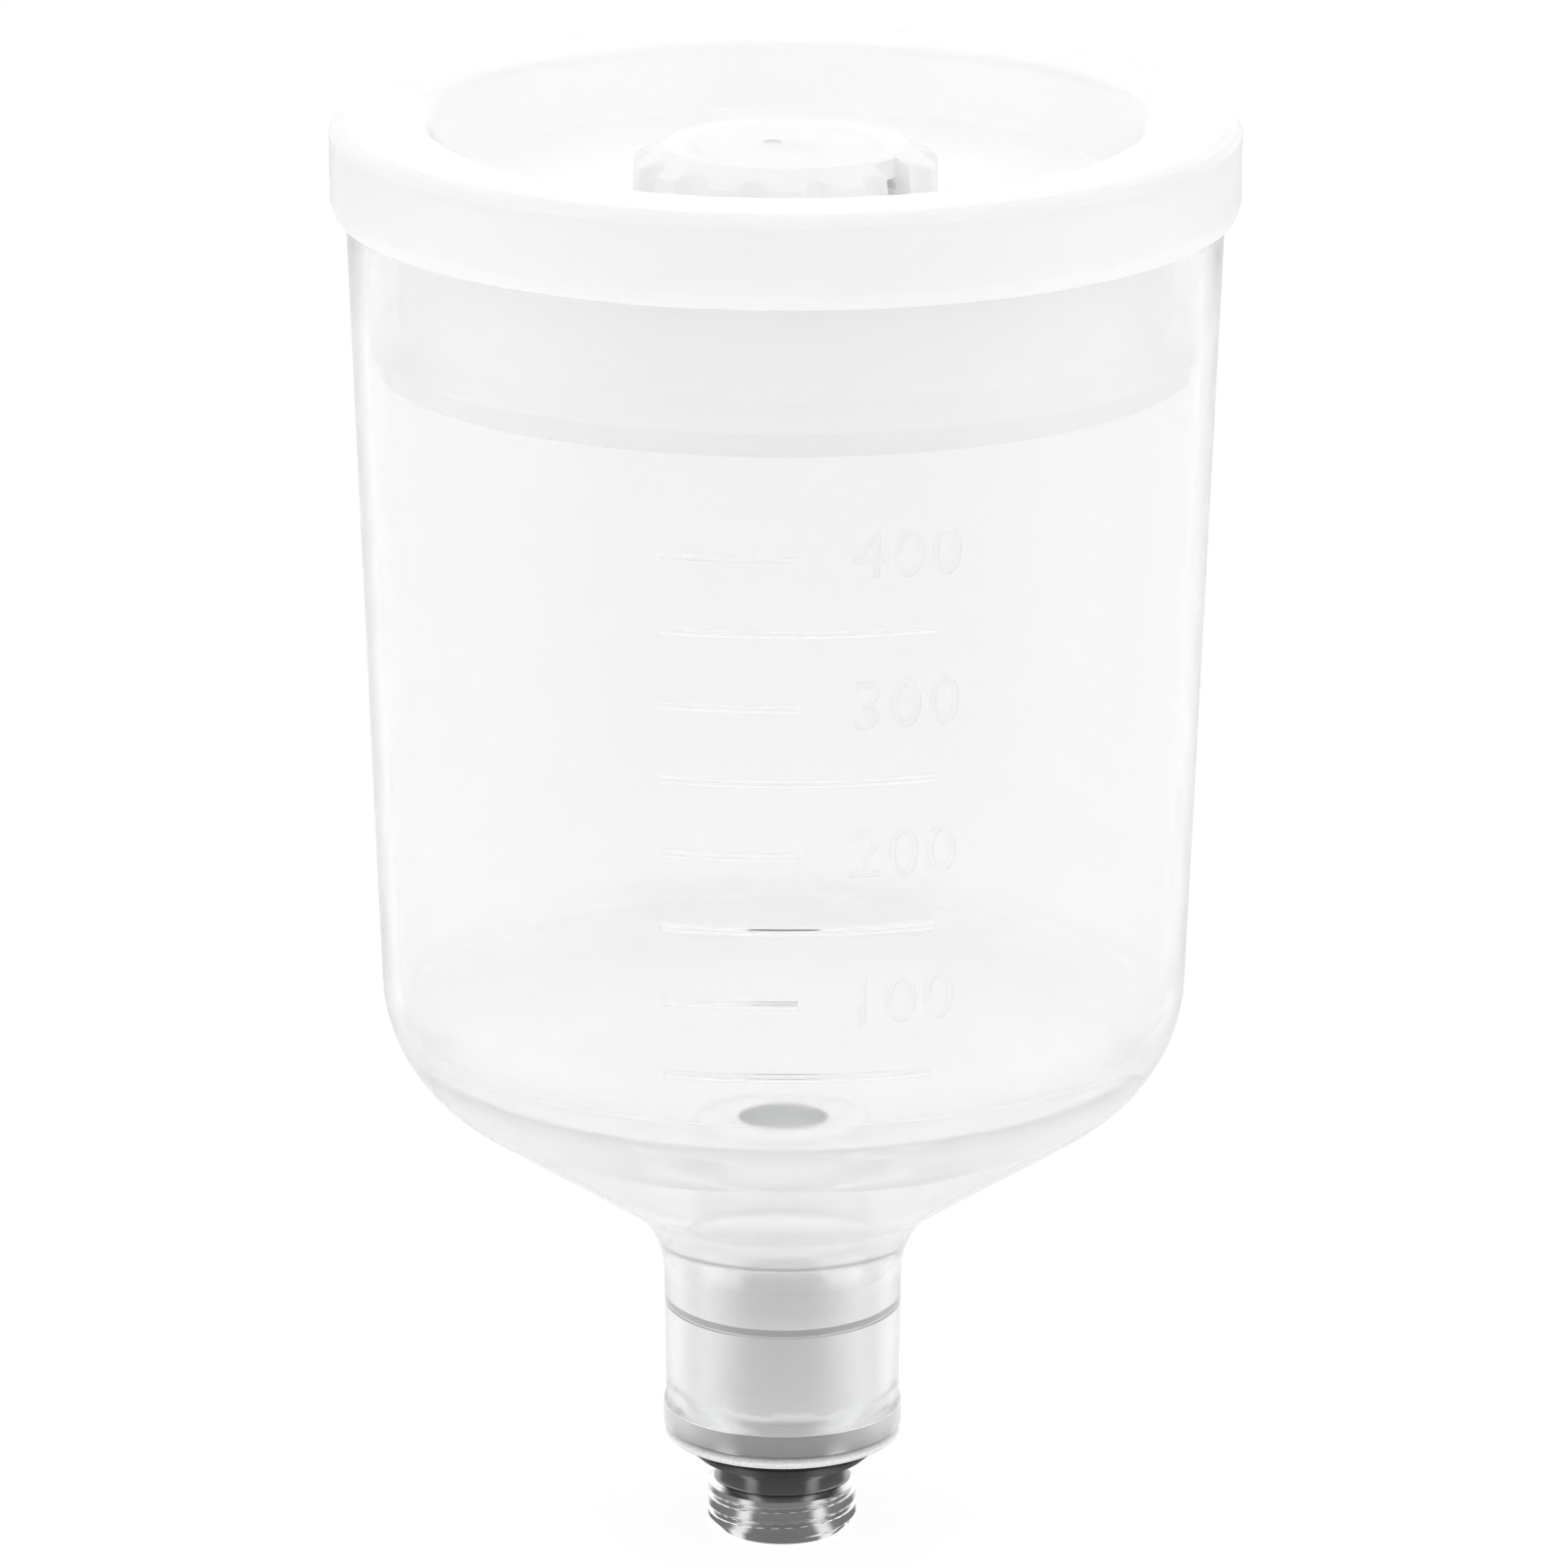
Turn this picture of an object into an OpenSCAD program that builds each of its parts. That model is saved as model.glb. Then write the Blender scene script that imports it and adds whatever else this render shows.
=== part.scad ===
// Gravity paint cup with a push-on lid and a turning vent cap, millimetres.
// Z = 0 is the sealing plane under the gasket, on the cup's axis, +Z up through the lid.
// The graduations face -Y.

/* [Cup body] */
// Height of the cup's rim above the sealing plane
rim_z = 145.7; // [138:0.1:155]
// Outer radius of the cup at its rim
rim_r = 46.3; // [45:0.1:48]
// Outer radius of the cup where the drafted wall ends
shoulder_r = 42.8; // [41:0.1:44]
// Height at which the drafted wall ends
shoulder_z = 54.3; // [50:0.1:60]
// Outer radius of the bend from the wall to the cone
shoulder_bend = 17; // [13:0.5:20]
// Slope of the outer cone, in degrees from level
cone_slope = 32.9; // [28:0.1:38]
// Thickness of the moulded wall
wall = 1.7; // [1.2:0.1:2.4]
// Part of the shoulder bend over which the wall keeps its thickness, in degrees
even_bend = 24; // [16:1:30]
// Radius of the inner corner between the wall and the floor
floor_bend = 5; // [3:0.5:7]
// Slope of the floor inside the cup, in degrees from level
floor_slope = 18.2; // [12:0.1:24]
// Radius of the rounding along the rim
rim_round = 0.6; // [0.3:0.1:0.8]

/* [Neck] */
// Outer radius at the neck's foot
neck_foot_r = 12.55; // [11.5:0.05:12.7]
// Outer radius where the neck runs into its bend
neck_top_r = 12.75; // [12.5:0.05:14]
// Outer radius of the bend from the neck to the cone
neck_bend = 10.3; // [6:0.1:12]

/* [Graduations] */
// Height of the lowest graduation above the sealing plane
mark_z = 55.9; // [55.5:0.1:60]
// Height from one graduation to the next
mark_pitch = 7.96; // [7:0.01:8.5]
// Number of graduations
mark_count = 8; // [4:1:9]
// How far a graduation stands out of the wall
mark_rise = 0.3; // [0.2:0.05:0.5]
// Height of one graduation bar
mark_height = 0.9; // [0.6:0.1:1.4]
// Where every bar starts, in degrees to the left of the front
mark_left = 16.7; // [12:0.1:20]
// Where a long bar ends, in degrees to the right of the front
mark_long = 20.8; // [16:0.1:26]
// Where a short bar ends, in degrees to the right of the front
mark_short = 2.2; // [0:0.1:6]

/* [Threaded insert] */
// Radius of the insert's barrel inside the neck
barrel_r = 9.35; // [8.8:0.05:10.5]
// Radius of the paint bore through the insert
bore_r = 4.8; // [4:0.1:5.5]
// How far the barrel's mouth stands above the cup's floor
mouth_proud = 1; // [0.3:0.1:2]
// Chamfer on the barrel's outer edge at the mouth
mouth_chamfer = 0.3; // [0.1:0.1:0.6]
// Height of the lower retaining groove's centre
groove_z = 16.9; // [13:0.1:19]
// Distance between the two retaining grooves
groove_pitch = 8.3; // [6:0.1:9]
// Width of a retaining groove
groove_width = 1; // [0.6:0.1:1.6]
// Depth of a retaining groove
groove_depth = 0.8; // [0.4:0.1:1.2]
// Radius of the flange that the neck stands on
flange_r = 12.8; // [12.7:0.05:14]
// Thickness of the flange
flange_height = 2.7; // [2:0.1:4]
// Chamfer under the flange
flange_chamfer = 0.15; // [0.1:0.05:0.4]
// Radius of the shank that centres the backing washer
shank_r = 8.6; // [8.4:0.1:9.5]
// Radius of the thread's crests
thread_r = 8; // [7.6:0.05:8.5]
// Length of the threaded stretch below the gasket
thread_length = 6.9; // [5:0.1:12]
// Height of the land that keeps the gasket on, above the thread's relief
land_height = 0.7; // [0.4:0.1:1]
// Width of the relief groove between the land and the thread
relief_width = 1.9; // [1:0.1:2.5]
// Depth of the relief groove
relief_depth = 0.8; // [0.4:0.1:1.2]
// Chamfer at the spigot's end
spigot_chamfer = 1.4; // [0.5:0.1:1.8]
// How far the gasket's seat stands out past the thread
seat_step = 0.3; // [0.2:0.05:0.5]

/* [Gasket and washer] */
// Outer radius of the rubber gasket
gasket_r = 10.8; // [9.5:0.05:11.5]
// Thickness of the rubber gasket
gasket_height = 2.3; // [1.5:0.1:3]
// Rounding of the gasket's outer edges
gasket_round = 0.4; // [0.2:0.1:0.7]
// Outer radius of the white backing washer
washer_r = 12.65; // [12:0.05:12.8]
// Thickness of the backing washer
washer_height = 1.2; // [0.8:0.1:2]
// Clearance of gasket and washer round the spigot
ring_clearance = 0.05; // [0.05:0.01:0.2]

/* [Lid] */
// Thickness of the lid's skin
lid_wall = 1.6; // [1.2:0.1:2]
// Gap between the lid's web and the cup's rim
seat_gap = 0.3; // [0.1:0.05:0.5]
// Thickness of the skirt
skirt_wall = 1.1; // [0.9:0.1:1.6]
// Gap between the skirt and the cup, measured at the skirt's foot
skirt_gap = 0.55; // [0.4:0.05:1]
// Height of the skirt from its foot to its top edge
skirt_height = 8.6; // [6:0.1:12]
// Height of the bevel along the skirt's foot
skirt_bevel = 1.6; // [0.6:0.1:2]
// Drop of the rounded shoulder from the lid's top to the skirt's top edge
rim_drop = 1.1; // [0.6:0.1:1.5]
// Width of that shoulder
rim_slope_width = 1.7; // [1:0.1:2.5]
// Width of the flat rim, from over the cup's rim to the recess
rim_flat = 8.5; // [7:0.1:10]
// Rounding between the flat rim and the recess's wall
recess_round = 2; // [0.5:0.1:2.5]
// How far the recess's steep wall leans in
recess_run = 4; // [3:0.1:6]
// Depth of the steep wall's foot below the flat rim
dish_depth = 6.5; // [5:0.1:7.5]
// Radius of the level middle of the floor
middle_r = 17.2; // [16.8:0.1:20]
// Depth of the level middle below the flat rim
middle_depth = 9.5; // [8:0.1:11]
// Gap between the plug tube and the cup's wall, at the web
plug_gap = 3.2; // [2:0.1:3.6]
// Thickness of the plug tube
plug_wall = 1.4; // [1:0.1:2]
// Depth of the plug's foot below the flat rim
plug_depth = 25.8; // [20:0.1:30]
// Height of the sealing lip at the plug's foot
lip_height = 5.1; // [3:0.1:7]
// Clearance of the sealing lip in the cup
lip_clearance = 0.1; // [0.05:0.01:0.3]
// How far the lip's foot is drawn in, to start the lid in the cup
lip_lead = 1.1; // [0.6:0.1:1.6]

/* [Vent cap] */
// Outer radius of the cap over its ribs
cap_r = 16; // [15:0.1:16.5]
// Height of the cap's ribbed side
cap_side = 4.7; // [4:0.1:5.5]
// Radius of the cap's flat top
cap_top_r = 12.6; // [11:0.1:13]
// Rise of the cap's sloping shoulder
cap_shoulder = 1.7; // [1:0.1:2]
// Thickness of the cap's skin
cap_wall = 1.5; // [1.1:0.1:1.8]
// Gap between the cap's foot and the lid
cap_gap = 0.3; // [0.2:0.05:0.6]
// Number of finger flutes round the cap
flute_count = 14; // [10:1:18]
// Depth of a flute at the top of the ribbed side
flute_depth = 1.6; // [0.9:0.05:1.8]
// Lean of a flute into the shoulder, in degrees
flute_lean = 8; // [0:1:10]
// Radius of a flute
flute_r = 2; // [1.6:0.1:2.6]
// Width of the slot that lets air in through the cap's side and shoulder
slot_width = 5; // [2:0.1:6]
// Width of the shoulder that stays behind the slot
slot_edge = 0.4; // [0.2:0.05:0.8]
// Place of that slot, in degrees from the front
slot_angle = 53; // [45:1:60]
// Radius of the stem that the cap turns on
stem_r = 3; // [2.5:0.1:3.5]
// Running clearance of the stem in the lid
stem_clearance = 0.05; // [0.02:0.01:0.1]
// How far the barb under the lid reaches past the stem
barb_reach = 0.7; // [0.4:0.1:1]
// Height of the barb
barb_height = 1.6; // [1:0.1:2.5]
// Angle from closed to open, in degrees
vent_turn = 90; // [60:5:100]

/* [Vent seal] */
// Outer radius of the seal disc and of the ring that presses on it
seal_r = 10.2; // [9.8:0.1:10.6]
// Thickness of the seal disc
seal_height = 1.4; // [1:0.1:2]
// Film of air under the seal disc
seal_film = 0.05; // [0.02:0.01:0.2]
// Distance of the vent hole from the axis
vent_reach = 7; // [6.5:0.1:7.4]
// Radius of the vent hole
vent_r = 1.2; // [0.8:0.1:1.4]
// Width of the cap's inner ring walls
ring_wall = 1.2; // [0.8:0.1:1.4]
// Radius of the peg that turns the seal with the cap
peg_r = 1; // [0.7:0.1:1.2]
// Clearance of the seal's holes on the stem and the peg
seal_clearance = 0.1; // [0.05:0.05:0.2]
// Width of the stops between lid and cap
stop_width = 1.4; // [1:0.1:1.6]
// Height by which the two stops overlap
stop_lap = 2; // [1:0.1:2.5]
// Gap between a stop's end and the face that it stands over
stop_end_gap = 0.5; // [0.3:0.1:0.8]
// Half the angle that a stop takes up, in degrees
stop_half = 7; // [4:1:10]
// Angle left between two stops that meet, in degrees
stop_slack = 1; // [0.5:0.1:2]

/* [Hidden] */
$fn = 44;
// Segments in a drawn bend
bend_steps = 9;
// Segments in a small rounding
round_steps = 3;
// Depth by which a rib is rooted in the wall that carries it
root = 0.4;
// Overshoot of a cutting tool past the face it cuts
over = 1;

// Cup body
draft = atan((rim_r - shoulder_r) / (rim_z - shoulder_z));
bend_centre = [shoulder_r - shoulder_bend * cos(draft), shoulder_z + shoulder_bend * sin(draft)];
cone_start = bend_centre + shoulder_bend * [sin(cone_slope), -cos(cone_slope)];
neck_bend_r = neck_top_r + neck_bend;
cone_end_r = neck_bend_r - neck_bend * sin(cone_slope);
cone_end_z = cone_start[1] - (cone_start[0] - cone_end_r) * tan(cone_slope);
neck_top_z = cone_end_z - neck_bend * cos(cone_slope);
inner_bend = shoulder_bend - wall;
corner_centre = bend_centre + (inner_bend - floor_bend) * [cos(even_bend), -sin(even_bend)];
floor_start = corner_centre + floor_bend * [sin(floor_slope), -cos(floor_slope)];
floor_z = floor_start[1] - (floor_start[0] - barrel_r) * tan(floor_slope);

// Insert, washer and gasket, stacked up from the sealing plane
washer_z = gasket_height;
flange_z = washer_z + washer_height;
neck_foot_z = flange_z + flange_height;
mouth_z = floor_z + mouth_proud;
seat_r = thread_r + seat_step;
relief_r = thread_r - relief_depth;
spigot_z = -thread_length - spigot_chamfer;
groove_heights = [groove_z, groove_z + groove_pitch];

// Lid
web_z = rim_z + seat_gap;
lid_top = web_z + lid_wall;
skirt_top = lid_top - rim_drop;
skirt_foot = skirt_top - skirt_height;
skirt_in_r = wall_r(skirt_foot) + skirt_gap;
skirt_r = skirt_in_r + skirt_wall;
recess_r = rim_r - rim_flat;
dish_r = recess_r - recess_run;
dish_z = lid_top - dish_depth;
middle_z = lid_top - middle_depth;
plug_r = rim_r - wall - plug_gap;
plug_foot = lid_top - plug_depth;
lip_top = plug_foot + lip_height;
plug_low_r = plug_r - (web_z - lip_top) * tan(draft);
lip_crest_z = plug_foot + lip_height * 0.55;
lip_r = wall_r(lip_crest_z) - wall - lip_clearance;
dish_slope = atan((dish_z - middle_z) / (dish_r - middle_r));
recess_slope = atan(dish_depth / recess_run);
recess_tangent = recess_round * tan(recess_slope / 2);

// Vent cap, seal and stops
cap_foot = middle_z + cap_gap;
cap_edge = cap_foot + cap_side;
cap_top = cap_edge + cap_shoulder;
cap_ceiling = cap_top - cap_wall;
cap_in_r = cap_r - flute_depth - cap_wall;
seal_z = middle_z + seal_film;
ring_z = seal_z + seal_height;
hole_r = stem_r + stem_clearance;
lid_underside = middle_z - lid_wall;
barb_top = lid_underside - cap_gap;
stop_r = (seal_r + cap_in_r) / 2;
stop_foot = middle_z + stop_end_gap;
stop_head = stop_foot + stop_lap;
slot_half = asin(slot_width / 2 / cap_r);

// Outer radius of the drafted wall at height z
function wall_r(z) = shoulder_r + (z - shoulder_z) * tan(draft);

// Points on an arc about c of radius r, from angle a to angle b
function arc(c, r, a, b, steps = bend_steps) =
    [for (i = [0 : steps]) let (t = a + (b - a) * i / steps) c + r * [cos(t), sin(t)]];

// Edge of the barrel with its retaining grooves, going up
function barrel_edge() =
    [for (z = groove_heights) each [
        [barrel_r, z - groove_width / 2],
        [barrel_r - groove_depth, z - groove_width / 2],
        [barrel_r - groove_depth, z + groove_width / 2],
        [barrel_r, z + groove_width / 2]]];

// The same list from its last point to its first
function backwards(points) = [for (i = [len(points) - 1 : -1 : 0]) points[i]];

// Half section of the cup body: up the outside, over the rim, and down the inside
module cup_section() {
    outside = concat(
        [[barrel_r, neck_foot_z], [neck_foot_r, neck_foot_z]],
        arc([neck_bend_r, neck_top_z], neck_bend, 180, 90 + cone_slope),
        arc(bend_centre, shoulder_bend, cone_slope - 90, -draft),
        arc([rim_r - rim_round, rim_z - rim_round], rim_round, 0, 90, round_steps));
    inside = concat(
        arc([rim_r - wall + rim_round, rim_z - rim_round], rim_round, 90, 180, round_steps),
        arc(bend_centre, inner_bend, -draft, -even_bend),
        arc(corner_centre, floor_bend, -even_bend, floor_slope - 90, 2 * round_steps),
        [[barrel_r, floor_z]]);
    polygon(concat(outside, inside, backwards(barrel_edge())));
}

// One raised bar on the wall at height z, from the left end to the angle past the front
module mark(z, past) {
    half = mark_height / 2;
    rotate([0, 0, -90 - mark_left])
        rotate_extrude(angle = mark_left + past)
            polygon([
                [wall_r(z - half) - root, z - half],
                [wall_r(z - half), z - half],
                [wall_r(z - half / 3) + mark_rise, z - half / 3],
                [wall_r(z + half / 3) + mark_rise, z + half / 3],
                [wall_r(z + half), z + half],
                [wall_r(z + half) - root, z + half]]);
}

// Translucent body: funnel, shoulder and drafted wall, with its graduations
module cup_body() {
    color("whitesmoke") {
        rotate_extrude() cup_section();
        for (i = [0 : mark_count - 1])
            mark(mark_z + i * mark_pitch, i % 2 == 0 ? mark_long : mark_short);
    }
}

// Turned metal insert: grooved barrel, flange, gasket seat and spigot, with the paint bore
module threaded_insert() {
    color("lightsteelblue")
        rotate_extrude()
            polygon(concat(
                [[bore_r, spigot_z],
                 [thread_r - spigot_chamfer, spigot_z],
                 [thread_r, spigot_z + spigot_chamfer],
                 [thread_r, -land_height - relief_width],
                 [relief_r, -land_height - relief_width],
                 [relief_r, -land_height],
                 [thread_r, -land_height],
                 [thread_r, 0],
                 [seat_r, 0],
                 [seat_r, washer_z],
                 [shank_r, washer_z],
                 [shank_r, flange_z],
                 [flange_r - flange_chamfer, flange_z],
                 [flange_r, flange_z + flange_chamfer],
                 [flange_r, neck_foot_z],
                 [barrel_r, neck_foot_z]],
                barrel_edge(),
                [[barrel_r, mouth_z - mouth_chamfer],
                 [barrel_r - mouth_chamfer, mouth_z],
                 [bore_r, mouth_z]]));
}

// White washer between the flange and the gasket
module backing_washer() {
    color("white")
        translate([0, 0, washer_z])
            difference() {
                cylinder(h = washer_height, r = washer_r);
                translate([0, 0, -over])
                    cylinder(h = washer_height + 2 * over, r = shank_r + ring_clearance);
            }
}

// Rubber gasket, pushed onto its seat above the thread
module gasket() {
    inner = seat_r + ring_clearance;
    color("dimgray")
        rotate_extrude()
            polygon(concat(
                [[inner, 0]],
                arc([gasket_r - gasket_round, gasket_round], gasket_round, -90, 0, round_steps),
                arc([gasket_r - gasket_round, gasket_height - gasket_round], gasket_round,
                    0, 90, round_steps),
                [[inner, gasket_height]]));
}

// Half section of the lid: over the top to the stem's hole, and back underneath
module lid_section() {
    skin_r = lid_wall / sin(recess_slope);
    top = concat(
        [[skirt_in_r, skirt_foot],
         [skirt_r - skirt_wall / 2, skirt_foot],
         [skirt_r, skirt_foot + skirt_bevel],
         [skirt_r, skirt_top],
         [skirt_r - rim_slope_width * 0.35, lid_top - rim_drop * 0.3],
         [skirt_r - rim_slope_width, lid_top]],
        arc([recess_r + recess_tangent, lid_top - recess_round], recess_round,
            90, 90 + recess_slope, round_steps),
        [[dish_r, dish_z], [middle_r, middle_z], [hole_r, middle_z]]);
    underside = [
        [hole_r, lid_underside],
        [middle_r + lid_wall * tan(dish_slope / 2), lid_underside],
        [dish_r + lid_wall * tan((recess_slope + dish_slope) / 2), dish_z - lid_wall],
        [recess_r + skin_r - lid_wall / tan(recess_slope), web_z],
        [plug_r - plug_wall, web_z],
        [plug_low_r - plug_wall, lip_top - plug_wall / 2],
        [lip_r - lip_lead - plug_wall, plug_foot],
        [lip_r - lip_lead, plug_foot],
        [lip_r, lip_crest_z],
        [plug_low_r, lip_top],
        [plug_r, web_z],
        [skirt_in_r, web_z]];
    polygon(concat(top, underside));
}

// A stop: a sector of a ring centred on the angle, from one height to another
module stop_block(angle, foot, head) {
    rotate([0, 0, angle - stop_half])
        translate([0, 0, foot])
            rotate_extrude(angle = 2 * stop_half)
                translate([stop_r - stop_width / 2, 0])
                    square([stop_width, head - foot]);
}

// Push-on lid: skirt, flat rim, dished recess, plug tube with its lip, and the vent hole
module lid() {
    swing = 2 * stop_half + stop_slack;
    color("white")
        difference() {
            union() {
                rotate_extrude() lid_section();
                for (angle = [180 - swing, 180 + vent_turn + swing])
                    stop_block(angle, middle_z - root, stop_head);
            }
            translate([vent_reach, 0, lid_underside - over])
                cylinder(h = lid_wall + 2 * over, r = vent_r);
        }
}

// Half section of the cap's skin and stem
module cap_section() {
    polygon([
        [cap_in_r, cap_foot],
        [cap_r, cap_foot],
        [cap_r, cap_edge],
        [cap_top_r, cap_top],
        [0, cap_top],
        [0, barb_top - barb_height],
        [stem_r - barb_reach, barb_top - barb_height],
        [stem_r + barb_reach, barb_top - barb_height / 4],
        [stem_r + barb_reach, barb_top],
        [stem_r, barb_top],
        [stem_r, cap_ceiling],
        [cap_in_r - cap_wall, cap_ceiling],
        [cap_in_r, cap_ceiling - cap_wall]]);
}

// Ring wall inside the cap that presses on the seal, with its inner and outer radius
module press_ring(inner, outer) {
    translate([0, 0, ring_z])
        rotate_extrude()
            translate([inner, 0])
                square([outer - inner, cap_ceiling + root - ring_z]);
}

// Slot through the cap's side and shoulder, open at its foot
module side_slot() {
    ledge = cap_ceiling - cap_wall / 2;
    rotate([0, 0, slot_angle - 90 - slot_half])
        rotate_extrude(angle = 2 * slot_half)
            polygon([
                [cap_in_r - over, cap_foot - over],
                [cap_r + over, cap_foot - over],
                [cap_r + over, cap_top + over],
                [cap_top_r + slot_edge, cap_top + over],
                [cap_top_r + slot_edge, ledge],
                [cap_in_r - over, ledge]]);
}

// Vent cap: fluted skin, stem with its barb, press rings, drive peg and the stop
module vent_cap() {
    flute_axis = cap_r - flute_depth + flute_r;
    flute_reach = cap_side + cap_shoulder + over;
    color("white")
        difference() {
            union() {
                rotate_extrude() cap_section();
                press_ring(seal_r - ring_wall, seal_r);
                press_ring(stem_r - root, stem_r + ring_wall);
                stop_block(180, stop_foot, cap_ceiling + root);
                translate([0, vent_reach, seal_z + seal_film])
                    cylinder(h = cap_ceiling + root - seal_z - seal_film, r = peg_r, $fn = 32);
            }
            for (i = [0 : flute_count - 1])
                rotate([0, 0, i * 360 / flute_count])
                    translate([flute_axis, 0, cap_edge])
                        rotate([0, -flute_lean, 0])
                            cylinder(h = 2 * flute_reach, r = flute_r, center = true, $fn = 32);
            side_slot();
            translate([stem_r + ring_wall + over / 2, -vent_r, ring_z])
                cube([seal_r - stem_r - ring_wall, 2 * vent_r, vent_r]);
        }
}

// Soft disc that shuts the vent hole until its port is turned over it
module vent_seal() {
    color("gray")
        translate([0, 0, seal_z])
            difference() {
                cylinder(h = seal_height, r = seal_r);
                translate([0, 0, -over])
                    cylinder(h = seal_height + 2 * over, r = stem_r + seal_clearance);
                translate([0, vent_reach, -over])
                    cylinder(h = seal_height + 2 * over, r = peg_r + seal_clearance, $fn = 32);
                rotate([0, 0, -vent_turn])
                    translate([vent_reach, 0, -over])
                        cylinder(h = seal_height + 2 * over, r = vent_r, $fn = 32);
            }
}

cup_body();
threaded_insert();
backing_washer();
gasket();
lid();
vent_cap();
vent_seal();
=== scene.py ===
"""Looks of the gravity paint cup: moulded plastics, turned metal, rubber, numbers and the studio.

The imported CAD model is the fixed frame. Each piece made here stands for its CAD node, on the same
axis and to the same sizes, with finer curves, the thread and the numbers added. Sizes are in
millimetres until a mesh is made, and Blender's objects are in metres.
"""
import sys

import logging
import math
from dataclasses import dataclass, field
from enum import Enum
from typing import Callable, Sequence

import bpy
import numpy as np
from mathutils import Matrix, Vector


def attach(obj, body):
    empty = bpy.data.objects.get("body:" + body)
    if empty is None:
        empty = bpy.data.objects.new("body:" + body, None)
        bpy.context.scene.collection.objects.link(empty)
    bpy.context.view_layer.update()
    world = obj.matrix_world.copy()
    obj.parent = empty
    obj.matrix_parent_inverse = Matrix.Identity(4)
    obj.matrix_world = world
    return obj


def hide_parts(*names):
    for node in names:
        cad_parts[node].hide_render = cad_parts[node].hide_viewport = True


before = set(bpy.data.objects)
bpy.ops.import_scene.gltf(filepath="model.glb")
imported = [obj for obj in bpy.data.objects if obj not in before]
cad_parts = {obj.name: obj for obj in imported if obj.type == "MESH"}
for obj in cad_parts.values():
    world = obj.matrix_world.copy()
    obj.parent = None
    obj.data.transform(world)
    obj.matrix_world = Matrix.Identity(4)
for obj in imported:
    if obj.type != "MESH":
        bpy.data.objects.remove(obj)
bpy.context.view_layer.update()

LOG = logging.getLogger("paint_cup")
Pair = tuple[float, float]
Triple = tuple[float, float, float]
Curve = tuple[Pair, ...]
Grid = np.ndarray
Form = Callable[[Grid, Grid, Grid], Grid]
Piece = bpy.types.Object
Socket = bpy.types.NodeSocket

MM = 0.001
ON_AXIS = 1e-6  # radius below which a lathe's point lies on its axis
END_SHARP, END_RAMP = 0.05, 0.35  # degrees from a form's end to the two close angles beside it
PAST = 1.0  # how far a block that cuts reaches past the face that it cuts


class Body(Enum):
    """CAD bodies that pieces ride on."""

    CUP = "cup"
    LID = "lid"
    VENT = "vent"


class Combine(Enum):
    """What a block does to a piece."""

    JOIN = "UNION"
    CUT = "DIFFERENCE"


# ---- shapes


def tan_d(angle: float) -> float:
    """Tangent of an angle in degrees."""
    return math.tan(math.radians(angle))


def arc(centre: Pair, radius: float, start: float, end: float, steps: int = 20) -> list[Pair]:
    """Points on an arc round a centre (r, z), between angles in degrees from +r."""
    angles = np.radians(np.linspace(start, end, steps + 1))
    return [(centre[0] + radius * math.cos(a), centre[1] + radius * math.sin(a)) for a in angles]


def circle(centre: Pair, radius: float, count: int = 24) -> list[Pair]:
    """Points round a circle, a number of them, anticlockwise from +X."""
    return arc(centre, radius, 0, 360 - 360 / count, count - 1)


def rounded(corners: Sequence[Triple], steps: int, straight: float = 89,
            most: float = 0.49) -> list[Pair]:
    """Loop with its corners rounded.

    Args:
        corners: Each as (r, z, rounding).
        steps: Segments in each rounding.
        straight: Half of the angle, in degrees, above which a corner is left as it is.
        most: Largest share of a side that one rounding takes.

    Returns:
        The rounded loop's points.
    """
    out: list[Pair] = []
    count = len(corners)
    for i, (r, z, rounding) in enumerate(corners):
        here = np.array([r, z])
        before = np.array(corners[i - 1][:2]) - here
        after = np.array(corners[(i + 1) % count][:2]) - here
        size_b, size_a = np.linalg.norm(before), np.linalg.norm(after)
        before, after = before / size_b, after / size_a
        half = math.acos(float(np.clip(before @ after, -1, 1))) / 2
        if rounding <= 0 or half > math.radians(straight):
            out.append((r, z))
            continue
        reach = min(rounding / math.tan(half), most * size_b, most * size_a)
        for k in range(steps + 1):
            t = k / steps
            p = here + before * reach * (1 - t) ** 2 + after * reach * t**2
            out.append((float(p[0]), float(p[1])))
    return out


def angles_with(extra: Sequence[float] = (), count: int = 240) -> Grid:
    """Angles for a lathe, evenly spread, with pairs of close ones added where a form ends.

    Args:
        extra: Angles in degrees from the front, positive to the right, that need a sharp end.
        count: Number of even steps.

    Returns:
        Sorted angles in radians from +X.
    """
    base = list(np.arange(count) * 2 * math.pi / count)
    for a in extra:
        for d in (-END_RAMP, -END_SHARP, END_SHARP, END_RAMP):
            base.append(math.radians(a + d - 90) % (2 * math.pi))
    return np.unique(np.round(base, 7))


def ease(share: Grid) -> Grid:
    """Share from 0 to 1 with a soft start and end."""
    return share * share * (3 - 2 * share)


def front_angle(theta: Grid) -> Grid:
    """Degrees from the cup's front at -Y, positive to the right, of angles in radians from +X."""
    return (np.degrees(theta) + 90 + 180) % 360 - 180


def stand(name: str, data: bpy.types.ID) -> Piece:
    """Object with a mesh, curve, camera or light, linked to the scene."""
    bpy.context.scene.collection.objects.link(obj := bpy.data.objects.new(name, data))
    return obj


def make_object(name: str, verts: Grid, faces: list[tuple[int, ...]]) -> Piece:
    """Mesh object from vertices in millimetres, without those that no face uses.

    Args:
        name: Name of the piece.
        verts: Vertex positions in millimetres.
        faces: Vertex indices of each face.

    Returns:
        The piece.
    """
    used = sorted({i for face in faces for i in face})
    place = dict(zip(used, range(len(used))))
    mesh = bpy.data.meshes.new(name)
    mesh.from_pydata((np.asarray(verts)[used] * MM).tolist(), [],
                     [tuple(place[i] for i in face) for face in faces])
    mesh.validate()
    return stand(name, mesh)


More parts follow.
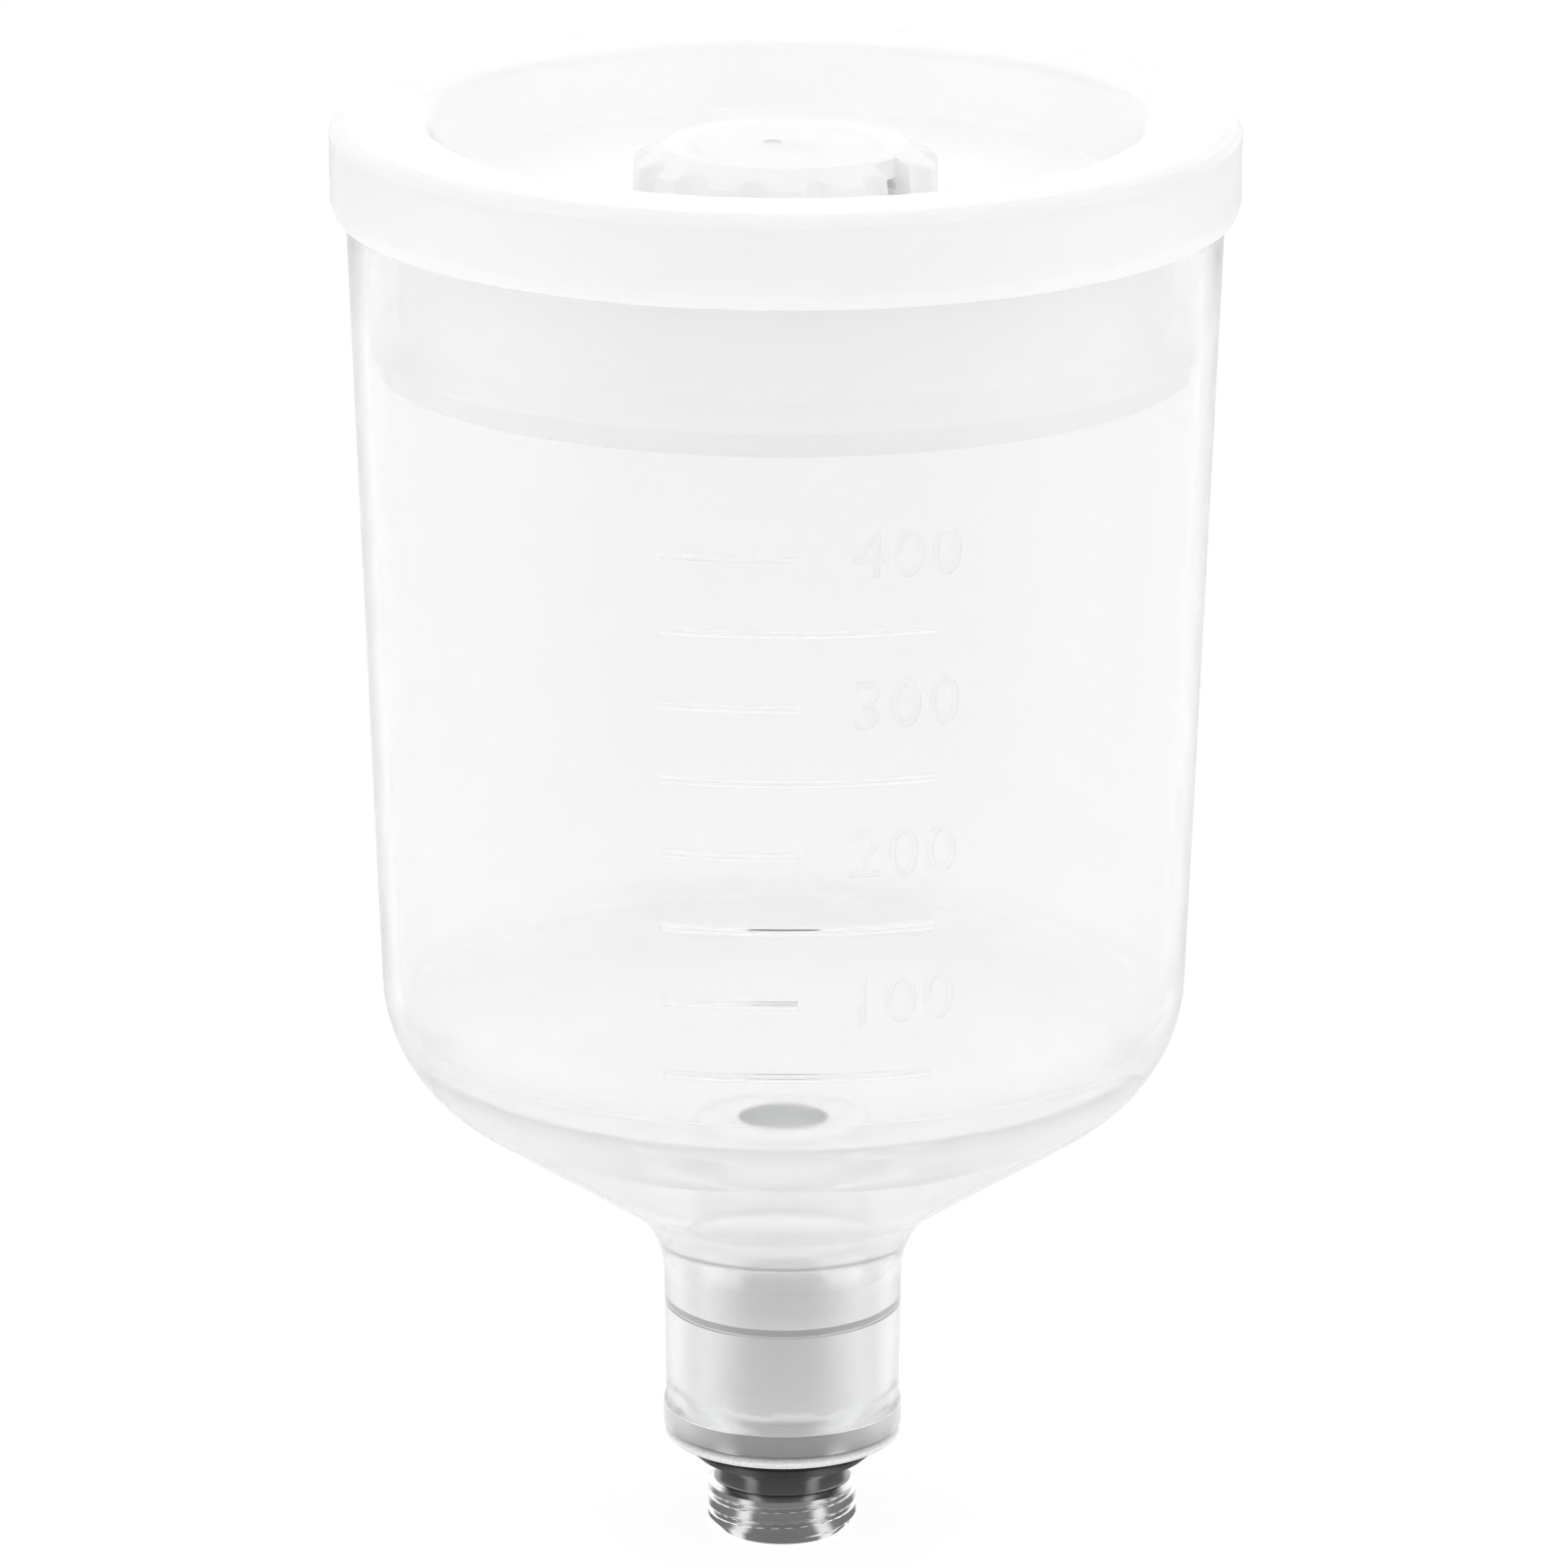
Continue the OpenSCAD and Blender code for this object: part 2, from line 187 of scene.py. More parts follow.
def smooth(obj: Piece, angle: float = 32) -> Piece:
    """Shades a piece smooth, with edges sharper than an angle kept crisp.

    Args:
        obj: The piece.
        angle: Edge angle in degrees above which an edge stays sharp.

    Returns:
        The same piece.
    """
    mesh = obj.data
    mesh.polygons.foreach_set("use_smooth", [True] * len(mesh.polygons))
    mesh.set_sharp_from_angle(angle=math.radians(angle))
    mesh.update()
    return obj


def lathe(name: str, section: Sequence[Pair], form: Form | None = None,
          theta: Grid | None = None, closed: bool = True, sharp: float = 32) -> Piece:
    """Turns a half section round the Z axis.

    Args:
        name: Name of the piece.
        section: Points (r, z) in millimetres, anticlockwise with the solid on the left.
        form: Changes the radii: takes r, z and theta as grids and returns r.
        theta: Angles in radians, evenly spread if not given.
        closed: Whether the section is a loop.
        sharp: Edge angle in degrees above which an edge stays crisp.

    Returns:
        The new piece.
    """
    theta = angles_with() if theta is None else theta
    r, z = np.array(section, float).T
    rr, tt = np.meshgrid(r, theta, indexing="ij")
    zz = np.repeat(z[:, None], len(theta), axis=1)
    if form is not None:
        rr = form(rr, zz, tt)
    rows, cols = rr.shape
    verts = np.stack([rr * np.cos(tt), rr * np.sin(tt), zz], axis=-1).reshape(-1, 3)
    faces: list[tuple[int, ...]] = []
    for i in range(rows if closed else rows - 1):
        k = (i + 1) % rows
        axis_i, axis_k = r[i] < ON_AXIS, r[k] < ON_AXIS
        if axis_i and axis_k:
            continue
        for j in range(cols):
            n = (j + 1) % cols
            a, b, c, d = i * cols + j, i * cols + n, k * cols + n, k * cols + j
            if axis_i:
                faces.append((i * cols, c, d))
            elif axis_k:
                faces.append((a, b, k * cols))
            else:
                faces.append((a, b, c, d))
    return smooth(make_object(name, verts, faces), sharp)


def prism(outline: Sequence[Pair], low: float, high: float) -> Piece:
    """Upright block on an outline, to join to a piece or cut from it.

    Args:
        outline: Points (x, y) in millimetres, anticlockwise.
        low: Height of its foot.
        high: Height of its head.

    Returns:
        The block.
    """
    count = len(outline)
    verts = [(x, y, z) for z in (low, high) for x, y in outline]
    sides = [(i, (i + 1) % count, (i + 1) % count + count, i + count) for i in range(count)]
    ends = [tuple(range(count - 1, -1, -1)), tuple(range(count, 2 * count))]
    return make_object("block", np.array(verts), sides + ends)


def sector(inner: float, outer: float, middle: float, half: float) -> list[Pair]:
    """Outline of a ring's sector, by its radii, its middle from +X and half its angle."""
    return [*arc((0, 0), outer, middle - half, middle + half, 8),
            *arc((0, 0), inner, middle + half, middle - half, 8)]


def combine(piece: Piece, tools: Sequence[Piece], kind: Combine) -> None:
    """Joins blocks to a piece or cuts them from it, and takes the blocks away.

    Args:
        piece: The piece.
        tools: The blocks.
        kind: Whether they are joined or cut.
    """
    for tool in tools:
        modifier = piece.modifiers.new(kind.name, "BOOLEAN")
        modifier.operation, modifier.object, modifier.solver = kind.value, tool, "EXACT"
    seen = piece.evaluated_get(bpy.context.evaluated_depsgraph_get())
    mesh = bpy.data.meshes.new_from_object(seen)
    piece.modifiers.clear()
    piece.data = mesh
    for tool in tools:
        bpy.data.objects.remove(tool)
    smooth(piece)


# ---- finishes


class Nodes:
    """A short hand for building a node tree."""

    def __init__(self, tree: bpy.types.NodeTree) -> None:
        """Takes the tree that gets the nodes."""
        self.tree = tree

    def feed(self, socket: Socket, value: object) -> None:
        """Sets a socket, or links it.

        Args:
            socket: The input.
            value: A value of its own, or the output that it is linked to.
        """
        if isinstance(value, Socket):
            self.tree.links.new(value, socket)
        else:
            socket.default_value = value

    def put(self, node: bpy.types.Node, **settings: object) -> bpy.types.Node:
        """Sets a node's properties and sockets.

        Args:
            node: The node.
            **settings: Properties, or values or outputs for sockets, by name with blanks as _.

        Returns:
            The same node.
        """
        for key, value in settings.items():
            if hasattr(node, key):
                setattr(node, key, value)
            else:
                self.feed(node.inputs[key.replace("_", " ")], value)
        return node

    def add(self, kind: str, **settings: object) -> bpy.types.Node:
        """Adds a node, by Blender's type name after ShaderNode, and sets it as put does."""
        return self.put(self.tree.nodes.new("ShaderNode" + kind), **settings)

    def calc(self, operation: str, *values: Socket | float) -> Socket:
        """One Math node.

        Args:
            operation: Blender's name of the operation.
            *values: What it works on, outputs or numbers.

        Returns:
            The result.
        """
        node = self.add("Math", operation=operation)
        for socket, value in zip(node.inputs, values):
            self.feed(socket, value)
        return node.outputs["Value"]

    def mix(self, share: Socket | float, first: object, second: object,
            kind: str = "FLOAT") -> Socket:
        """Blend of two values or outputs, from the first at share 0 to the second at share 1."""
        return self.add("Mix", data_type=kind, Factor=share, A=first, B=second).outputs["Result"]

    def span(self, value: Socket, low: float, high: float, from_low: float = 0.3,
             from_high: float = 0.7) -> Socket:
        """Maps a value onto a range.

        Args:
            value: The value.
            low: Result at from_low and below.
            high: Result at from_high and above.
            from_low: Start of the range of the value.
            from_high: End of the range of the value.

        Returns:
            The mapped value.
        """
        node = self.add("MapRange", Value=value, From_Min=from_low, From_Max=from_high,
                        To_Min=low, To_Max=high)
        return node.outputs["Result"]


class Surface(Nodes):
    """The nodes of a material with a Principled shader."""

    def __init__(self, name: str) -> None:
        """Starts the material.

        Args:
            name: Name of the material.
        """
        self.material = bpy.data.materials.new(name)
        self.material.use_nodes = True
        super().__init__(self.material.node_tree)
        self.shader = self.tree.nodes["Principled BSDF"]
        self.place = self.add("TexCoord").outputs["Object"]
        self.height = self.add("SeparateXYZ", Vector=self.place).outputs["Z"]

    def noise(self, scale: float, stretch: Triple = (1, 1, 1), detail: float = 4,
              rough: float = 0.5) -> Socket:
        """Noise over the object's own place.

        Args:
            scale: Features per metre.
            stretch: Scale along X, Y and Z.
            detail: Octaves.
            rough: Strength of the finer octaves.

        Returns:
            The noise's value.
        """
        mapping = self.add("Mapping", Vector=self.place, Scale=stretch)
        node = self.add("TexNoise", Vector=mapping.outputs["Vector"], Scale=scale, Detail=detail,
                        Roughness=rough)
        return node.outputs["Fac"]


@dataclass(frozen=True)
class Finish:
    """What every finish has.

    Attributes:
        name: Name of the material.
        color: Its colour.
        roughness: Its mean roughness.
        spread: Least and largest roughness, as shares of the mean.
    """

    name: str
    color: Triple
    roughness: float
    spread: Pair = (1.0, 1.0)

    def tint(self, share: float = 1) -> tuple[float, ...]:
        """A share of the colour, with an alpha of 1."""
        return (*(c * share for c in self.color), 1)

    def dress(self, n: Surface, haze: Socket, relief: Socket, depth: float) -> bpy.types.Material:
        """Gives the material its roughness and its relief.

        Args:
            n: The material's nodes.
            haze: Noise that the roughness follows.
            relief: Height of the relief, from 0 to 1.
            depth: Depth of the relief in metres.

        Returns:
            The material.
        """
        bump = n.add("Bump", Distance=depth, Strength=1, Height=relief)
        n.put(n.shader, Normal=bump.outputs["Normal"],
              Roughness=n.span(haze, *(self.roughness * share for share in self.spread)))
        return n.material


@dataclass(frozen=True)
class MouldedPlastic(Finish):
    """Clear to milky moulded plastic with the slight waves of its mould.

    Attributes:
        clear: Share of light that passes through clearly: one for the whole piece, or pairs of a
            height in metres and the share there, from the lowest up.
        painted_shade: Darker colour painted on the plastic up to a height, as painted shade, or
            None.
        painted_shade_z: Heights in metres between which that painted shade fades.
        haze_scale: Clouds of the haze per metre.
        wave: Depth of the mould's waves in metres.
        wave_scale: Waves per metre.
        wave_stretch: Scale of the waves along X, Y and Z.
        ior: Refractive index.
    """

    spread: Pair = (0.85, 1.15)
    clear: float | tuple[Pair, ...] = 0.9
    painted_shade: Triple | None = None
    painted_shade_z: Pair = (0.0, 0.0)
    haze_scale: float = 220
    wave: float = 0.00002
    wave_scale: float = 60
    wave_stretch: Triple = (1, 1, 0.5)
    ior: float = 1.49

    def build(self) -> bpy.types.Material:
        """Makes the material.

        Returns:
            The material.
        """
        n = Surface(self.name)
        color, share = self.tint(), self.clear
        # Painted shade: below a height the plastic's colour is darker.
        if self.painted_shade is not None:
            color = n.mix(n.span(n.height, 0, 1, *self.painted_shade_z), (*self.painted_shade, 1), color, "RGBA")
        if isinstance(self.clear, tuple):
            for i, ((low_z, low), (high_z, high)) in enumerate(zip(self.clear, self.clear[1:])):
                start = 0 if i else low
                ramp = n.span(n.height, start, start + high - low, low_z, high_z)
                share = n.calc("ADD", share, ramp) if i else ramp
        n.put(n.shader, Base_Color=color, Transmission_Weight=share, IOR=self.ior)
        waves = n.noise(self.wave_scale, self.wave_stretch, detail=2)
        return self.dress(n, n.noise(self.haze_scale), waves, self.wave)


@dataclass(frozen=True)
class TurnedMetal(Finish):
    """Turned metal with fine marks round its axis, and bands of painted shade.

    Attributes:
        shade_bands: Middle and half height of each band of painted shade, in millimetres.
        dark: Share of the colour that is left in the painted shade.
        mark: Depth of the turning marks in metres.
        mark_scale: Features of the marks per metre.
        mark_stretch: Scale of the marks along X, Y and Z.
        mark_rough: Strength of the marks' finer octaves.
    """

    spread: Pair = (0.75, 1.3)
    shade_bands: tuple[Pair, ...] = ()
    dark: float = 0.3
    mark: float = 0.000008
    mark_scale: float = 900
    mark_stretch: Triple = (0.12, 0.12, 5)
    mark_rough: float = 0.7

    def build(self) -> bpy.types.Material:
        """Makes the material.

        Returns:
            The material.
        """
        n = Surface(self.name)
        share: Socket | float = 0.0
        # Painted shade: the metal's colour is darkened in bands by height.
        for middle, half in self.shade_bands:
            share = n.calc("MAXIMUM", share, n.calc("COMPARE", n.height, middle * MM, half * MM))
        n.put(n.shader, Metallic=1,
              Base_Color=n.mix(share, self.tint(), self.tint(self.dark), "RGBA"))
        marks = n.noise(self.mark_scale, self.mark_stretch, rough=self.mark_rough)
        return self.dress(n, marks, marks, self.mark)


@dataclass(frozen=True)
class Matte(Finish):
    """Rubber or nylon with a fine, dull grain.

    Attributes:
        dark: Share of the colour in the grain's hollows.
        grain: Depth of the grain in metres.
        grain_scale: Grains per metre.
    """

    spread: Pair = (0.9, 1.1)
    dark: float = 0.82
    grain: float = 0.00002
    grain_scale: float = 2500

    def build(self) -> bpy.types.Material:
        """Makes the material.

        Returns:
            The material.
        """
        n = Surface(self.name)
        grain = n.noise(self.grain_scale)
        n.put(n.shader, Base_Color=n.mix(n.span(grain, 0, 1), self.tint(self.dark), self.tint(),
                                         "RGBA"))
        return self.dress(n, grain, grain, self.grain)


# ---- pieces


@dataclass(frozen=True)
class CupSizes:
    """Sizes of the cup body, in millimetres and degrees."""

    rim_z: float = 145.7
    rim_r: float = 46.3
    shoulder_r: float = 42.8
    shoulder_z: float = 54.3
    bend: float = 17.0
    cone_slope: float = 32.9
    wall: float = 1.7
    even_bend: float = 24.0
    floor_bend: float = 5.0
    floor_slope: float = 18.2
    rim_round: float = 0.6
    neck_foot_r: float = 12.55
    neck_foot_z: float = 6.2
    neck_top_r: float = 12.75
    neck_bend: float = 10.3
    barrel_r: float = 9.35
    flash_row: float = 0.12
    flash_rows: int = 14
    cone_cuts: tuple[float, ...] = (0.25, 0.5, 0.75)
    wall_cuts: tuple[float, ...] = (125, 105, 85, 70)

    @property
    def draft(self) -> float:
        """Draft of the wall in degrees."""
        return math.degrees(math.atan((self.rim_r - self.shoulder_r)
                                      / (self.rim_z - self.shoulder_z)))

    def wall_r(self, z: Grid | float) -> Grid | float:
        """Outer radius of the drafted wall at a height."""
        return self.shoulder_r + (z - self.shoulder_z) * tan_d(self.draft)

    @property
    def bend_centre(self) -> Pair:
        """Centre of the shoulder's bend."""
        a = math.radians(self.draft)
        return (self.shoulder_r - self.bend * math.cos(a),
                self.shoulder_z + self.bend * math.sin(a))

    def outside(self, heights: Sequence[float]) -> list[Pair]:
        """Outer half section from the neck's foot to the rim's top.

        Args:
            heights: Heights at which the wall gets a row of its own.

        Returns:
            The points going up.
        """
        slope, (cr, cz) = math.radians(self.cone_slope), self.bend_centre
        start = (cr + self.bend * math.sin(slope), cz - self.bend * math.cos(slope))
        neck_r = self.neck_top_r + self.neck_bend
        end_r = neck_r - self.neck_bend * math.sin(slope)
        end_z = start[1] - (start[0] - end_r) * math.tan(slope)
        neck_z = end_z - self.neck_bend * math.cos(slope)
        cone = [(end_r + (start[0] - end_r) * t, end_z + (start[1] - end_z) * t)
                for t in self.cone_cuts]
        return [*[(self.neck_foot_r, self.neck_foot_z + self.flash_row * i)
                  for i in range(self.flash_rows)],
                *arc((neck_r, neck_z), self.neck_bend, 180, 90 + self.cone_slope, 22),
                *cone,
                *arc((cr, cz), self.bend, self.cone_slope - 90, -self.draft, 36),
                *[(float(self.wall_r(z)), z) for z in heights],
                *arc((self.rim_r - self.rim_round, self.rim_z - self.rim_round),
                     self.rim_round, 0, 90, 6)]

    def inside(self) -> list[Pair]:
        """Inner half section from the rim's top down to the barrel.

        Returns:
            The points going down.
        """
        a, (cr, cz) = math.radians(self.even_bend), self.bend_centre
        inner = self.bend - self.wall
        corner = (cr + (inner - self.floor_bend) * math.cos(a),
                  cz - (inner - self.floor_bend) * math.sin(a))
        s = math.radians(self.floor_slope)
        start = (corner[0] + self.floor_bend * math.sin(s),
                 corner[1] - self.floor_bend * math.cos(s))
        wall = [(float(self.wall_r(z)) - self.wall, z) for z in self.wall_cuts]
        floor = [(start[0] + (self.barrel_r - start[0]) * t,
                  start[1] - (start[0] - self.barrel_r) * t * math.tan(s)) for t in (0.5, 1)]
        return [*arc((self.rim_r - self.wall + self.rim_round, self.rim_z - self.rim_round),
                     self.rim_round, 90, 180, 6),
                *wall,
                *arc((cr, cz), inner, -self.draft, -self.even_bend, 12),
                *arc(corner, self.floor_bend, -self.even_bend, self.floor_slope - 90, 12),
                *floor]


@dataclass
class CupBody:
    """The moulded cup with its graduations and numbers."""

    sizes: CupSizes = field(default_factory=CupSizes)
    finish: MouldedPlastic = MouldedPlastic(
        "cup_plastic", (0.9995, 0.9995, 0.9995), 0.07,
        clear=((0.022, 0.74), (0.029, 0.4), (0.043, 0.4), (0.054, 0.9)))
    number_finish: MouldedPlastic = MouldedPlastic(
        "number_plastic", (0.9995, 0.9995, 0.9995), 0.07, clear=0.95, ior=1.15)
    wall_rows: Triple = (58, 145, 4.1)  # first, end and step
    mark_z: float = 55.9
    mark_pitch: float = 7.96
    mark_count: int = 8
    mark_rise: float = 0.3
    mark_edge: Pair = (0.05, 0.5)  # half heights of a bar's top and foot
    mark_rows: tuple[float, int] = (0.6, 13)  # reach and number of the rows at a bar
    mark_clear: float = 0.9
    mark_skin: float = 0.05
    mark_volume: int = 50  # millilitres from bar to bar
    mark_left: float = -16.7
    mark_long: float = 20.8
    mark_short: float = 2.2
    number_height: float = 5.2
    number_angle: float = 16.2
    number_scale: float = 1.4
    number_space: float = 1.12
    number_stand: float = 0.03
    number_edge: float = 0.04
    flash_height: float = 0.75
    flash_rise: float = 0.22
    flash_waves: tuple[int, ...] = (7, 17, 31, 53, 71)  # waves round the neck
    flash_shift: float = 1.7
    flash_ragged: float = 0.35
    flash_least: float = 0.1

    def marks(self) -> list[Pair]:
        """Height and right-hand end of each graduation.

        Returns:
            One pair for each bar, from the lowest up.
        """
        return [(self.mark_z + i * self.mark_pitch,
                 self.mark_long if i % 2 == 0 else self.mark_short)
                for i in range(self.mark_count)]

    def raise_marks(self, r: Grid, z: Grid, theta: Grid) -> Grid:
        """Lifts the wall's outside where a graduation stands.

        Args:
            r: Radii.
            z: Heights.
            theta: Angles from +X.

        Returns:
            The radii with the graduations.
        """
        side = front_angle(theta)
        outer = r > self.sizes.wall_r(z) - self.mark_skin
        for height, right in self.marks():
            lift = ease(np.interp(np.abs(z - height), self.mark_edge, (1, 0)))
            along = np.interp(side, (self.mark_left, self.mark_left + END_RAMP,
                                     right - END_RAMP, right), (0, 1, 1, 0))
            r = r + np.where(outer, self.mark_rise * lift * along, 0)
        return r + self.flash(z, theta)

    def flash(self, z: Grid, theta: Grid) -> Grid:
        """Ragged thin rim of plastic over the flange, at the neck's foot.

        Args:
            z: Heights.
            theta: Angles from +X.

        Returns:
            What it adds to the radii.
        """
        ragged = sum(np.sin(theta * turns + turns * self.flash_shift) / rank
                     for rank, turns in enumerate(self.flash_waves, 1))
        height = np.maximum(self.flash_height * (1 + self.flash_ragged * ragged), self.flash_least)
        return self.flash_rise * np.clip(1 - (z - self.sizes.neck_foot_z) / height, 0, 1) ** 0.5

    def build(self) -> list[Piece]:
        """Makes the body and its numbers.

        Returns:
            The pieces.
        """
        heights = {float(z) for z in np.arange(*self.wall_rows)}
        reach, rows = self.mark_rows
        for height, _ in self.marks():
            heights = {z for z in heights if abs(z - height) > self.mark_clear}
            heights |= {height + d for d in np.linspace(-reach, reach, rows)}
        section = [*self.sizes.outside(sorted(heights)), *self.sizes.inside()]
        theta = angles_with([self.mark_left, self.mark_long, self.mark_short])
        body = lathe("cup_shell", section, self.raise_marks, theta, closed=False)
        body.data.materials.append(self.finish.build())
        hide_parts("cup_body")
        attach(body, Body.CUP.value)
        made = [body]
        relief = self.number_finish.build()
        for i in range(1, self.mark_count, 2):
            number = self.number(str((i + 1) * self.mark_volume), self.mark_z + i * self.mark_pitch)
            number.data.materials.append(relief)
            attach(number, Body.CUP.value)
            made.append(number)
        return made

    def number(self, text: str, height: float) -> Piece:
        """One moulded number, bent round the wall.

        Args:
            text: The digits.
            height: Height of the number's middle.

        Returns:
            The piece.
        """
        curve = bpy.data.curves.new("digits", "FONT")
        curve.body = text
        curve.align_x, curve.align_y = "CENTER", "CENTER"
        curve.size = self.number_height * self.number_scale
        curve.space_character = self.number_space
        curve.extrude = self.number_stand
        curve.bevel_depth, curve.bevel_resolution = self.number_edge, 1
        curve.offset = -self.number_edge
        curve.resolution_u = 6
        source = stand("digits", curve)
        mesh = bpy.data.meshes.new_from_object(
            source.evaluated_get(bpy.context.evaluated_depsgraph_get()))
        bpy.data.objects.remove(source)
        co = np.empty(len(mesh.vertices) * 3, np.float32)
        mesh.vertices.foreach_get("co", co)
        x, y, depth = co.reshape(-1, 3).T.astype(float)
        z = height + y
        r = self.sizes.wall_r(z) + depth + self.number_stand
        theta = math.radians(self.number_angle - 90) + x / self.sizes.wall_r(height)
        place = np.stack([r * np.cos(theta), r * np.sin(theta), z], axis=-1) * MM
        mesh.vertices.foreach_set("co", place.astype(np.float32).ravel())
        mesh.update()
        return smooth(stand("number_" + text, mesh), angle=40)


@dataclass
class Insert:
    """The turned metal insert with its thread."""

    # The metal's dark bands are painted shade: under the gasket in the thread's relief, where they
    # also stand for the gasket's painted reflection, in the gap over the washer, and in the
    # barrel's two grooves.
    finish: TurnedMetal = TurnedMetal(
        "insert_metal", (0.86, 0.865, 0.87), 0.18,
        shade_bands=((-1.35, 1.3), (3.62, 0.14), (16.9, 0.4), (25.2, 0.3)))
    bore_r: float = 4.8
    end_z: float = -8.3
    chamfer: float = 1.4
    chamfer_rows: int = 25
    thread_r: float = 8.0
    thread_top: float = -2.6
    pitch: float = 1.75
    thread_depth: float = 0.55
    thread_flank: Pair = (0.27, 0.46)  # crest's edge and root, as shares of the pitch
    thread_skin: float = 0.2
    thread_end: float = 0.5
    thread_row: float = 0.055
    crest_left_z: float = -5.2
    relief_r: float = 7.2
    relief_lead: float = 0.1
    land_z: float = -0.7
    seat_r: float = 8.3
    washer_z: float = 2.3
    shank_r: float = 8.6
    flange_z: float = 3.5
    flange_r: float = 12.8
    flange_top: float = 6.2
    flange_bevel: float = 0.3
    barrel_r: float = 9.35
    grooves: tuple[float, ...] = (16.9, 25.2)
    groove_width: float = 1.0
    groove_depth: float = 0.8
    mouth_z: float = 37.4

    def thread(self, r: Grid, z: Grid, theta: Grid) -> Grid:
        """Cuts the thread into the spigot.

        Args:
            r: Radii.
            z: Heights.
            theta: Angles from +X.

        Returns:
            The radii with the thread.
        """
        turn = (theta - math.pi) / (2 * math.pi)
        t = ((z - self.crest_left_z) / self.pitch - turn) % 1
        depth = ease(np.interp(np.minimum(t, 1 - t), self.thread_flank, (0, 1)))
        cut = self.thread_r - self.thread_depth * depth
        inside = (z < self.thread_top) & (r > self.bore_r + self.thread_skin)
        return np.where(inside, np.minimum(r, cut), r)

    def build(self) -> list[Piece]:
        """Makes the insert.

        Returns:
            The piece.
        """
        tip = self.thread_r - self.chamfer
        top = self.thread_top - self.thread_end
        rows = np.arange(self.end_z + self.chamfer, top, self.thread_row)
        slant = np.linspace(0, 1, self.chamfer_rows, endpoint=False)
        barrel: list[Triple] = []
        for z in self.grooves:
            low, high = z - self.groove_width / 2, z + self.groove_width / 2
            deep = self.barrel_r - self.groove_depth
            barrel += [(self.barrel_r, low, 0.1), (deep, low, 0.1), (deep, high, 0.1),
                       (self.barrel_r, high, 0.1)]
        lower: list[Triple] = [(self.bore_r, self.end_z, 0.15)]
        lower += [(tip + self.chamfer * t, self.end_z + self.chamfer * t, 0) for t in slant]
        lower += [(self.thread_r, float(z), 0) for z in rows]
        upper: list[Triple] = [
            (self.thread_r, top, 0), (self.relief_r, self.thread_top + self.relief_lead, 0.2),
            (self.relief_r, self.land_z, 0.15), (self.thread_r, self.land_z, 0.1),
            (self.thread_r, 0, 0), (self.seat_r, 0, 0), (self.seat_r, self.washer_z, 0),
            (self.shank_r, self.washer_z, 0), (self.shank_r, self.flange_z, 0),
            (self.flange_r - self.flange_bevel, self.flange_z, 0.1),
            (self.flange_r, self.flange_z + self.flange_bevel, 0.15),
            (self.flange_r, self.flange_top, 0.12),
            (self.barrel_r, self.flange_top, 0), *barrel,
            (self.barrel_r, self.mouth_z, 0.35), (self.bore_r, self.mouth_z, 0.2)]
        piece = lathe("insert_turned", rounded([*lower, *upper], steps=4), self.thread, sharp=38)
        piece.data.materials.append(self.finish.build())
        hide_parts("threaded_insert")
        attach(piece, Body.CUP.value)
        return [piece]


@dataclass
class Rings:
    """The white backing washer and the rubber gasket, each by the corners of its section."""

    nylon: Matte = Matte("washer_nylon", (0.86, 0.86, 0.85), 0.55)
    rubber: Matte = Matte("gasket_rubber", (0.012, 0.012, 0.013), 0.42)
    washer: tuple[Triple, ...] = (
        (8.65, 2.3, 0.1), (12.2, 2.3, 0.2), (12.65, 2.7, 0.2), (12.6, 3, 0.2), (11.9, 3.5, 0.1),
        (8.65, 3.5, 0.1))
    gasket: tuple[Triple, ...] = (
        (8.35, 0, 0.15), (9.1, 0, 0.3), (10.8, 1.5, 0.6), (10.8, 2.3, 0.3), (8.35, 2.3, 0.15))

    def build(self) -> list[Piece]:
        """Makes both rings.

        Returns:
            The pieces.
        """
        washer = lathe("washer_ring", rounded(self.washer, steps=4))
        washer.data.materials.append(self.nylon.build())
        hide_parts("backing_washer")
        gasket = lathe("gasket_ring", rounded(self.gasket, steps=8))
        gasket.data.materials.append(self.rubber.build())
        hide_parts("gasket")
        for piece in (washer, gasket):
            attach(piece, Body.CUP.value)
        return [washer, gasket]


@dataclass(frozen=True)
class Stop:
    """The small stops on the lid and in the cap that end the cap's turn."""

    radius: float = 11.55
    width: float = 1.4
    half: float = 7.0
    foot: float = 138.6
    head: float = 140.6
    root: float = 0.4

    def outline(self, angle: float) -> list[Pair]:
        """Outline of a stop, seen from above, at an angle in degrees from +X."""
        return sector(self.radius - self.width / 2, self.radius + self.width / 2, angle, self.half)


STOP = Stop()


